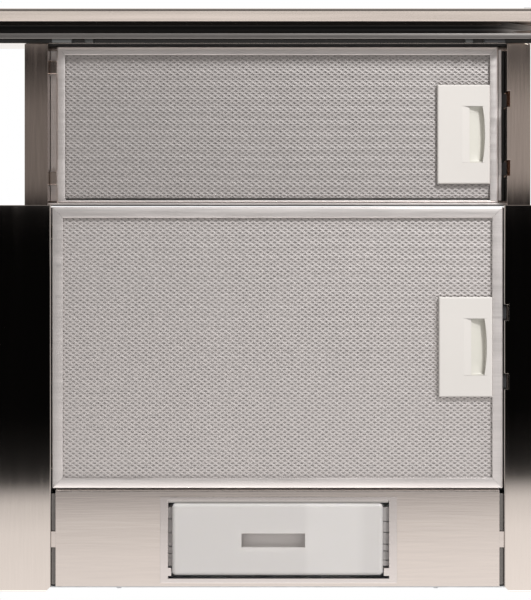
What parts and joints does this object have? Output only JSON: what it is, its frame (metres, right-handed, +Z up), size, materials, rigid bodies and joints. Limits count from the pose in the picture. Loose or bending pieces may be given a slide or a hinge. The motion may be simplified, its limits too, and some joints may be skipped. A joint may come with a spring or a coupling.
{
  "type": "under cabinet range hood",
  "caption": "Telescopic range hood for a wall cabinet: pull-out drawer with handle bar and grease filter, hinged body filter, lamp cover, blower and duct collar with dampers.",
  "frame": {"origin": "centre of the four cabinet mounting screws, on the mounting face that meets the cabinet floor", "axes": "+X to the right seen from the front, +Y to the wall, +Z up; the drawer pulls out towards -Y and the filters face down"},
  "size_m": [0.598, 0.441, 0.247],
  "materials": {
    "black_plastic": "moulded",
    "brushed_steel": "brushed stainless sheet",
    "circuit": "circuit board",
    "clear_white": "translucent opal",
    "filter_aluminium": "anodised satin",
    "galvanised_steel": "galvanised sheet",
    "glass": "opal glass",
    "grey_plastic": "moulded",
    "mesh_aluminium": "expanded metal",
    "motor_steel": "lacquered",
    "polished_steel": "bright annealed stainless sheet",
    "rubber": "matt",
    "shaft_steel": "ground",
    "white_plastic": "fine moulded texture",
    "zinc_screw": "zinc plated"
  },
  "bodies": {
    "hood": {"casing": "galvanised_steel", "blower_deck": "galvanised_steel", "left_wing": "polished_steel", "right_wing": "polished_steel", "front_crossmember": "galvanised_steel", "light_panel": "polished_steel", "lamp_box": "galvanised_steel", "lamp_holder": "white_plastic", "lamp_bulb": "glass", "lamp_bezel": "white_plastic", "slide_rail_left": "galvanised_steel", "slide_rail_right": "galvanised_steel", "scroll_housing": "black_plastic", "inlet_ring": "black_plastic", "motor_housing": "motor_steel", "motor_bracket": "galvanised_steel", "motor_bushes": "rubber", "motor_screws": "zinc_screw", "capacitor": "white_plastic", "duct_collar": "black_plastic", "damper_spindle": "shaft_steel", "terminal_box": "grey_plastic", "terminal_lid": "grey_plastic", "cable_grommet": "rubber", "reed_switch": "black_plastic", "casing_screws": "zinc_screw"},
    "drawer": {"drawer_member_left": "brushed_steel", "drawer_member_right": "brushed_steel", "drawer_top_panel": "brushed_steel", "drawer_front_rail": "brushed_steel", "drawer_rear_rail": "brushed_steel", "drawer_glides": "white_plastic", "drawer_magnet": "motor_steel", "front_fascia": "filter_aluminium", "end_cap_left": "grey_plastic", "end_cap_right": "grey_plastic", "control_panel": "black_plastic", "switch_board": "circuit", "fascia_screws": "zinc_screw"},
    "button_1": {"button_1": "grey_plastic"},
    "button_2": {"button_2": "grey_plastic"},
    "button_3": {"button_3": "grey_plastic"},
    "button_4": {"button_4": "grey_plastic"},
    "button_5": {"button_5": "grey_plastic"},
    "body_filter": {"body_filter_frame": "filter_aluminium", "body_filter_mesh": "mesh_aluminium", "body_latch_housing": "white_plastic", "body_latch_spring": "black_plastic"},
    "body_latch": {"body_latch_slider": "white_plastic"},
    "drawer_filter": {"drawer_filter_frame": "filter_aluminium", "drawer_filter_mesh": "mesh_aluminium", "drawer_latch_housing": "white_plastic", "drawer_latch_spring": "black_plastic"},
    "drawer_latch": {"drawer_latch_slider": "white_plastic"},
    "lamp_cover": {"lamp_cover": "clear_white"},
    "impeller": {"impeller": "black_plastic", "motor_shaft": "shaft_steel"},
    "damper_front": {"damper_flap_front": "black_plastic"},
    "damper_rear": {"damper_flap_rear": "black_plastic"}
  },
  "joints": [
    {"name": "drawer_slide", "type": "slide", "parent": "hood", "child": "drawer", "axis": [0, 1, 0], "range_m": [0, 0.1215]},
    {"name": "body_filter_hinge", "type": "hinge", "parent": "hood", "child": "body_filter", "pos_m": [-0.169, -0.038, -0.042], "axis": [0, 1, 0], "range_deg": [0, 75]},
    {"name": "drawer_filter_hinge", "type": "hinge", "parent": "drawer", "child": "drawer_filter", "pos_m": [-0.167, -0.208, -0.029], "axis": [0, -1, 0], "range_deg": [-75, 0]},
    {"name": "body_latch_slide", "type": "slide", "parent": "body_filter", "child": "body_latch", "axis": [-1, 0, 0], "range_m": [0, 0.005], "stiffness_N_per_m": 250, "springref_m": -0.004, "deforming": ["body_latch_spring"]},
    {"name": "drawer_latch_slide", "type": "slide", "parent": "drawer_filter", "child": "drawer_latch", "axis": [-1, 0, 0], "range_m": [0, 0.005], "stiffness_N_per_m": 250, "springref_m": -0.004, "deforming": ["drawer_latch_spring"]},
    {"name": "lamp_cover_hinge", "type": "hinge", "parent": "hood", "child": "lamp_cover", "pos_m": [0, 0.13, -0.0405], "axis": [1, 0, 0], "range_deg": [0, 85]},
    {"name": "impeller_spin", "type": "hinge", "parent": "hood", "child": "impeller", "pos_m": [-0.07, 0.011, 0.045], "axis": [0, 0, 1], "continuous": true},
    {"name": "damper_front_hinge", "type": "hinge", "parent": "hood", "child": "damper_front", "pos_m": [0.1, 0.011, 0.17], "axis": [-1, 0, 0], "range_deg": [0, 75]},
    {"name": "damper_rear_hinge", "type": "hinge", "parent": "hood", "child": "damper_rear", "pos_m": [0.1, 0.011, 0.17], "axis": [1, 0, 0], "range_deg": [0, 75]},
    {"name": "button_1_press", "type": "slide", "parent": "drawer", "child": "button_1", "axis": [0, 1, 0], "range_m": [0, 0.0025], "stiffness_N_per_m": 300, "springref_m": -0.002},
    {"name": "button_2_press", "type": "slide", "parent": "drawer", "child": "button_2", "axis": [0, 1, 0], "range_m": [0, 0.0025], "stiffness_N_per_m": 300, "springref_m": -0.002},
    {"name": "button_3_press", "type": "slide", "parent": "drawer", "child": "button_3", "axis": [0, 1, 0], "range_m": [0, 0.0025], "stiffness_N_per_m": 300, "springref_m": -0.002},
    {"name": "button_4_press", "type": "slide", "parent": "drawer", "child": "button_4", "axis": [0, 1, 0], "range_m": [0, 0.0025], "stiffness_N_per_m": 300, "springref_m": -0.002},
    {"name": "button_5_press", "type": "slide", "parent": "drawer", "child": "button_5", "axis": [0, 1, 0], "range_m": [0, 0.0025], "stiffness_N_per_m": 300, "springref_m": -0.002}
  ]
}
